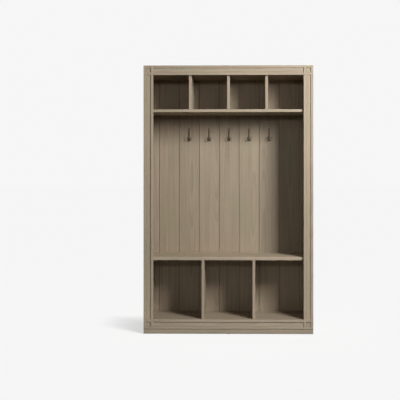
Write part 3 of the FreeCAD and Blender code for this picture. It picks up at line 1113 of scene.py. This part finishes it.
@dataclass
class CoatHooks:
    """Cast double hooks with soft edges, each in the place of its CAD node.

    Attributes:
        plate_width: Width of the back plate.
        plate_thickness: Thickness of the back plate.
        plate_edge: Rounding of the plate's front edges.
        foot_diameter: Diameter of the round foot.
        foot_edge: Rounding of the foot's front edge.
        rod_diameter: Diameter of the two rods.
        rod_gap: Gap between the rods, and between the rods and the boards.
        bend_radius: Radius of the rods' bends.
        splay: Turn of each rod from straight ahead.
        tip_rise: Height of the balls above the foot.
        ball_diameter: Diameter of the balls.
        screw_head: Diameter of the screws' heads.
        sink_diameter: Diameter of the countersinks in the plate's front.
        edge_inset: Share of a turned edge's rounding by which its middle is set in.
        edge_segments: Faces across the rounding of the plate's edges.
        turn_steps: Steps round a turned disc.
        rod_sides: Sides of a rod.
        bend_steps: Steps round a rod's bend.
        ball_rings: Meridians and parallels of a ball.
        sink_sides: Sides of a countersink.
        weld: Distance within which points are joined.
        voxel: Grain of the mesh that joins the casting into one skin.
        smoothing: Share of the way that one pass moves a point to its neighbours' mean.
        smoothing_passes: Passes that soften the skin.
        prefix: What the names of the hooks' CAD nodes start with.
        hooks: The hooks, once they are made.
    """

    plate_width: float = 0.010
    plate_thickness: float = 0.007
    plate_edge: float = 0.0016
    foot_diameter: float = 0.012
    foot_edge: float = 0.0018
    rod_diameter: float = 0.0055
    rod_gap: float = 0.0004
    bend_radius: float = 0.012
    splay: float = math.radians(25)
    tip_rise: float = 0.010
    ball_diameter: float = 0.010
    screw_head: float = 0.0064
    sink_diameter: float = 0.0066
    edge_inset: float = 0.3
    edge_segments: int = 3
    turn_steps: int = 40
    rod_sides: int = 24
    bend_steps: int = 28
    ball_rings: tuple[int, int] = (32, 20)
    sink_sides: int = 48
    weld: float = 1e-6
    voxel: float = 0.0006
    smoothing: float = 0.5
    smoothing_passes: int = 6
    prefix: str = "coat_hook_"
    hooks: list[bpy.types.Object] = field(default_factory=list)

    def plate(self, mesh: bmesh.types.BMesh, height: float) -> None:
        """Adds the back plate with rounded front edges and a round top, from the foot's middle up.

        Args:
            mesh: The casting.
            height: Height of the plate's top above the foot's middle.
        """
        straight = height - self.plate_width / 2
        size = Matrix.Diagonal((self.plate_width, self.plate_thickness, straight, 1.0))
        place = Matrix.Translation((0.0, -self.plate_thickness / 2, straight / 2))
        made = bmesh.ops.create_cube(mesh, size=1.0, matrix=place @ size)
        upright = [
            edge
            for edge in {edge for vertex in made["verts"] for edge in vertex.link_edges}
            if all(vertex.co.y < -self.plate_thickness / 2 for vertex in edge.verts)
            and abs(edge.verts[0].co.x - edge.verts[1].co.x) < self.voxel
        ]
        bmesh.ops.bevel(
            mesh,
            geom=upright,
            offset=self.plate_edge,
            segments=self.edge_segments,
            profile=0.5,
            affect="EDGES",
            material=-1,
        )
        self.disc(mesh, self.plate_width / 2, straight, self.plate_edge)

    def disc(self, mesh: bmesh.types.BMesh, radius: float, height: float, edge: float) -> None:
        """Adds a turned disc on the wall with a rounded front edge.

        Args:
            mesh: The casting.
            radius: The disc's radius.
            height: Height of its middle.
            edge: Rounding of its front edge.
        """
        front = -self.plate_thickness
        inset = self.edge_inset * edge
        outline = [
            (0.0, 0.0),
            (radius, 0.0),
            (radius, front + edge),
            (radius - inset, front + inset),
            (radius - edge, front),
            (0.0, front),
        ]
        verts = [mesh.verts.new((x, y, height)) for x, y in outline]
        edges = [mesh.edges.new(pair) for pair in zip(verts, verts[1:])]
        bmesh.ops.spin(
            mesh,
            geom=verts + edges,
            cent=(0.0, 0.0, height),
            axis=(0.0, 1.0, 0.0),
            angle=2 * math.pi,
            steps=self.turn_steps,
            use_merge=True,
        )

    def rod(self, mesh: bmesh.types.BMesh, side: int) -> None:
        """Adds one rod: down from the foot, round its bend and up to its ball.

        Args:
            mesh: The casting.
            side: -1 for the left rod and 1 for the right one.
        """
        radius = self.rod_diameter / 2
        start = Vector((side * (radius + self.rod_gap / 2), -radius - self.rod_gap, 0.0))
        ahead = Vector((side * math.sin(self.splay), -math.cos(self.splay), 0.0))
        ring = bmesh.ops.create_circle(
            mesh, cap_ends=True, radius=radius, segments=self.rod_sides, matrix=Matrix.Translation(start)
        )
        faces = list({face for vertex in ring["verts"] for face in vertex.link_faces})
        swept = bmesh.ops.spin(
            mesh,
            geom=faces,
            cent=start + ahead * self.bend_radius,
            axis=ahead.cross(Vector((0.0, 0.0, 1.0))),
            angle=math.pi,
            steps=self.bend_steps,
        )
        cap = [item for item in swept["geom_last"] if isinstance(item, bmesh.types.BMFace)]
        raised = bmesh.ops.extrude_face_region(mesh, geom=cap)
        tip = [item for item in raised["geom"] if isinstance(item, bmesh.types.BMVert)]
        bmesh.ops.translate(mesh, verts=tip, vec=(0.0, 0.0, self.tip_rise))
        end = start + ahead * 2 * self.bend_radius + Vector((0.0, 0.0, self.tip_rise))
        bmesh.ops.create_uvsphere(
            mesh,
            u_segments=self.ball_rings[0],
            v_segments=self.ball_rings[1],
            radius=self.ball_diameter / 2,
            matrix=Matrix.Translation(end),
        )

    def drill(self, screws: list[float]) -> bpy.types.Object:
        """Makes the cutter of the countersinks.

        Args:
            screws: Heights of the screws above the foot's middle.

        Returns:
            The cutter.
        """
        cutters = bmesh.new()
        for screw in screws:
            # Each cone has its middle in the plate's front, so it is half as wide there as at its base.
            place = Matrix.Translation((0.0, -self.plate_thickness, screw))
            bmesh.ops.create_cone(
                cutters,
                cap_ends=True,
                segments=self.sink_sides,
                radius1=self.sink_diameter,
                radius2=0.0,
                depth=self.sink_diameter,
                matrix=place @ Matrix.Rotation(-math.pi / 2, 4, "X"),
            )
        return as_object("hook_drill", cutters)

    def casting(self, height: float, screws: list[float]) -> bpy.types.Mesh:
        """Makes one hook with its foot's middle at the origin and its back on the plane y = 0.

        Args:
            height: Height of the plate's top above the foot's middle.
            screws: Heights of the screws above the foot's middle.

        Returns:
            The hook's mesh.
        """
        mesh = bmesh.new()
        self.plate(mesh, height)
        self.disc(mesh, self.foot_diameter / 2, 0.0, self.foot_edge)
        for side in (-1, 1):
            self.rod(mesh, side)
        bmesh.ops.remove_doubles(mesh, verts=mesh.verts, dist=self.weld)
        bmesh.ops.holes_fill(mesh, edges=mesh.edges, sides=0)
        bmesh.ops.recalc_face_normals(mesh, faces=mesh.faces)
        blank = as_object("hook_blank", mesh)
        skin = blank.modifiers.new("one_skin", "REMESH")
        skin.mode = "VOXEL"
        skin.voxel_size = self.voxel
        soft = blank.modifiers.new("soft_edges", "SMOOTH")
        soft.factor = self.smoothing
        soft.iterations = self.smoothing_passes
        sunk = blank.modifiers.new("countersinks", "BOOLEAN")
        sunk.operation = "DIFFERENCE"
        sunk.object = self.drill(screws)
        bpy.context.view_layer.update()
        evaluated = blank.evaluated_get(bpy.context.evaluated_depsgraph_get())
        made = bpy.data.meshes.new_from_object(evaluated)
        for spare in (sunk.object, blank):
            bpy.data.objects.remove(spare)
        made.shade_smooth()
        return made

    def build(self) -> None:
        """Makes one casting and sets a copy of it in the place of each hook."""
        names = nodes_called(self.prefix)
        low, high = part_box(names[0])
        foot = low.z + self.bend_radius + self.rod_diameter / 2
        lowest_screw, highest_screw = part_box("hook_screws")
        head = self.screw_head / 2
        screws = [lowest_screw.z + head - foot, highest_screw.z - head - foot]
        casting = self.casting(high.z - foot, screws)
        for name in names:
            low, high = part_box(name)
            mesh = casting.copy()
            mesh.transform(Matrix.Translation(((low.x + high.x) / 2, high.y, foot)))
            hook = bpy.data.objects.new(f"cast_{name}", mesh)
            bpy.context.scene.collection.objects.link(hook)
            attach(hook, BODY)
            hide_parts(name)
            self.hooks.append(hook)
            log.info("cast %s with %d faces", hook.name, len(mesh.polygons))

    def dress(self) -> None:
        """Gives the hooks and their screws one antiqued finish."""
        bronze = AgedBronze().material("aged_bronze")
        for hook in self.hooks:
            hook.data.materials.clear()
            hook.data.materials.append(bronze)
        dress_node("hook_screws", bronze)


@dataclass
class Fasteners:
    """The back screws, the dowels and the floor glides, as the CAD nodes shape them.

    Attributes:
        dowels: Nodes of bare dowels and the way that their grain runs.
        first_number: The number of the first dowel group.
    """

    dowels: tuple[tuple[str, Grain], ...] = (
        ("frame_dowels", Grain.UPRIGHT),
        ("carcass_dowels", Grain.INWARD),
    )
    first_number: int = 61

    def build(self) -> None:
        """Reports the fasteners, whose shapes are the CAD nodes' own."""
        log.info("Fasteners keep their CAD shapes")

    def dress(self) -> None:
        """Gives each kind of fastener its own finish."""
        dress_node("back_screws", ZincSteel().material("zinc_steel"))
        dress_node("floor_glides", GlidePlastic().material("glide_plastic"))
        for number, (name, grain) in enumerate(self.dowels, start=self.first_number):
            dress_node(name, BareTimber(Timber(grain, number)).material(name))


def hang_lamp(data: bpy.types.Light, lit: bpy.types.Collection) -> bpy.types.Object:
    """Adds an unseen lamp that lights one collection only.

    Args:
        data: The lamp's settings.
        lit: What it lights.

    Returns:
        The lamp.
    """
    lamp = bpy.data.objects.new(data.name, data)
    bpy.context.scene.collection.objects.link(lamp)
    lamp.visible_camera = False
    lamp.light_linking.receiver_collection = lit
    return lamp


@dataclass(frozen=True)
class SoftBox:
    """A soft box with an even face.

    Attributes:
        name: The lamp's name.
        place: Where it stands.
        width: Its width.
        height: Its height.
        power: Its power in watts.
        aim: The point that it faces.
    """

    name: str
    place: Triple
    width: float
    height: float
    power: float
    aim: Triple = (0.0, 0.0, 0.95)

    def build(self, lit: bpy.types.Collection) -> None:
        """Hangs the lamp.

        Args:
            lit: What it lights.
        """
        data = bpy.data.lights.new(self.name, "AREA")
        data.shape = "RECTANGLE"
        data.size = self.width
        data.size_y = self.height
        data.energy = self.power
        lamp = hang_lamp(data, lit)
        lamp.location = self.place
        facing = Vector(self.aim) - Vector(self.place)
        lamp.rotation_euler = facing.to_track_quat("-Z", "Y").to_euler()


@dataclass(frozen=True)
class FloorStrip:
    """A tall strip of even light on the floor, which gives the cabinet's soft shadow.

    Attributes:
        azimuth: Its turn to the right of the cabinet's front.
        reaches: Lengths of the shadows that its lamps throw from the cabinet's top.
        spread: Angle that each lamp fills.
        strength: Strength of all lamps together.
    """

    azimuth: float = math.radians(43)
    reaches: tuple[float, ...] = (0.14, 0.28, 0.4, 0.5)
    spread: float = math.radians(5)
    strength: float = 2.95

    def build(self, lit: bpy.types.Collection) -> None:
        """Hangs the lamps one above the other.

        Args:
            lit: What they light.
        """
        height = CAD_BOX[1][2]
        for number, reach in enumerate(self.reaches, start=1):
            data = bpy.data.lights.new(f"floor_strip_{number}", "SUN")
            data.energy = self.strength / len(self.reaches)
            data.angle = self.spread
            towards = Vector((reach * math.sin(self.azimuth), -reach * math.cos(self.azimuth), height))
            hang_lamp(data, lit).rotation_euler = towards.to_track_quat("Z", "Y").to_euler()


@dataclass(frozen=True)
class PhotoCamera:
    """A level camera at the photograph's view.

    Attributes:
        place: Where it stands.
        yaw: Its turn to the left of straight ahead.
        focal_px: Focal length in pixels of the picture.
        centre_px: Pixel that lies straight ahead of the lens.
        picture_px: Width and height of the picture.
        sensor: Width of the sensor in millimetres.
    """

    place: Triple = (0.101, -6.4045, 1.1462)
    yaw: float = math.radians(0.906)
    focal_px: float = 878.23
    centre_px: tuple[float, float] = (228.7, 172.0)
    picture_px: int = 400
    sensor: float = 36.0

    def build(self) -> None:
        """Sets the camera up."""
        data = bpy.data.cameras.new("photo_camera")
        data.sensor_width = self.sensor
        data.lens = self.focal_px / self.picture_px * self.sensor
        data.shift_x = 0.5 - self.centre_px[0] / self.picture_px
        data.shift_y = self.centre_px[1] / self.picture_px - 0.5
        camera = bpy.data.objects.new("photo_camera", data)
        bpy.context.scene.collection.objects.link(camera)
        camera.location = self.place
        camera.rotation_euler = (math.pi / 2, 0.0, self.yaw)
        bpy.context.scene.camera = camera


@dataclass
class Studio:
    """A plain pale floor that runs into a pale backdrop, soft boxes and the camera.

    Attributes:
        paper: Brightness of the backdrop.
        floor_radius: Radius of the floor.
        floor_sides: Sides of the floor's round edge.
        ambient: Brightness of the room that lights the cabinet.
        key: The soft box that gives the main light, from the front right.
        front_fill: A far box that faces over the top, so that the rim of its beam fills the bays.
        left_fill: A weak box that fills from the front left.
        floor_bounce: A low box that stands in for the light that a pale floor throws up.
        rear_boxes: Boxes that light the sides and the back.
    """

    paper: float = 0.922
    floor_radius: float = 60.0
    floor_sides: int = 96
    ambient: float = 0.016
    key: SoftBox = SoftBox("key_box", (1.85, -2.5, 2.45), width=0.84, height=1.1, power=133.0)
    front_fill: SoftBox = SoftBox(
        "front_fill", (0.1, -8.6, 2.45), width=0.6, height=1.2, power=166.0, aim=(0.1, -7.6, 4.18)
    )
    left_fill: SoftBox = SoftBox("left_fill", (-2.2, -2.4, 1.95), width=1.2, height=1.2, power=7.0)
    floor_bounce: SoftBox = SoftBox(
        "floor_bounce", (-0.1, -0.5, 0.03), width=1.5, height=0.3, power=1.2, aim=(-0.1, -0.1, 0.73)
    )
    rear_boxes: tuple[SoftBox, ...] = (
        SoftBox("rear_box_left", (-2.6, 2.6, 2.2), width=1.6, height=1.6, power=90.0),
        SoftBox("rear_box_right", (2.4, 3.0, 2.0), width=1.6, height=1.6, power=60.0),
    )

    def backdrop(self) -> None:
        """Makes the world: pale to the camera, dim as a source of light."""
        world = bpy.data.worlds.new("studio")
        world.use_nodes = True
        graph = Graph(world.node_tree)
        seen = graph.node("ShaderNodeLightPath", output="Is Camera Ray")
        room = graph.node("ShaderNodeBackground", {}, {"Color": WHITE, "Strength": self.ambient})
        paper = graph.node("ShaderNodeBackground", {}, {"Color": WHITE, "Strength": self.paper})
        surface = graph.node("ShaderNodeMixShader", {}, {0: seen, 1: room, 2: paper})
        graph.node("ShaderNodeOutputWorld", {}, {"Surface": surface})
        bpy.context.scene.world = world

    def floor(self) -> bpy.types.Object:
        """Makes the pale floor, which shows the shadow and throws no light on the cabinet.

        Returns:
            The floor.
        """
        mesh = bmesh.new()
        bmesh.ops.create_circle(
            mesh, cap_ends=True, radius=self.floor_radius, segments=self.floor_sides
        )
        made = as_object("studio_floor", mesh)
        made.data.materials.append(PaleFloor().material("pale_floor"))
        made.visible_diffuse = False
        made.visible_glossy = False
        made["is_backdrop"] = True
        return made

    def build(self) -> None:
        """Sets up the backdrop, the floor, the lamps and the camera."""
        self.backdrop()
        floor_only = bpy.data.collections.new("floor_only")
        floor_only.objects.link(self.floor())
        cabinet_only = bpy.data.collections.new("cabinet_only")
        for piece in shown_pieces():
            cabinet_only.objects.link(piece)
        boxes = (self.key, self.front_fill, self.left_fill, self.floor_bounce, *self.rear_boxes)
        for box in boxes:
            box.build(cabinet_only)
        FloorStrip().build(floor_only)
        PhotoCamera().build()
        bpy.context.scene.view_settings.view_transform = "Standard"
        log.info("studio set up with %d soft boxes", len(boxes))


def main() -> None:
    """Builds and dresses the sub-assemblies in order, then the studio."""
    logging.basicConfig(level=logging.INFO, format="%(message)s")
    for assembly in (FaceFrame(), Carcass(), Boarding(), Plinth(), CoatHooks(), Fasteners()):
        assembly.build()
        assembly.dress()
    Studio().build()


if __name__ == "__main__":
    main()
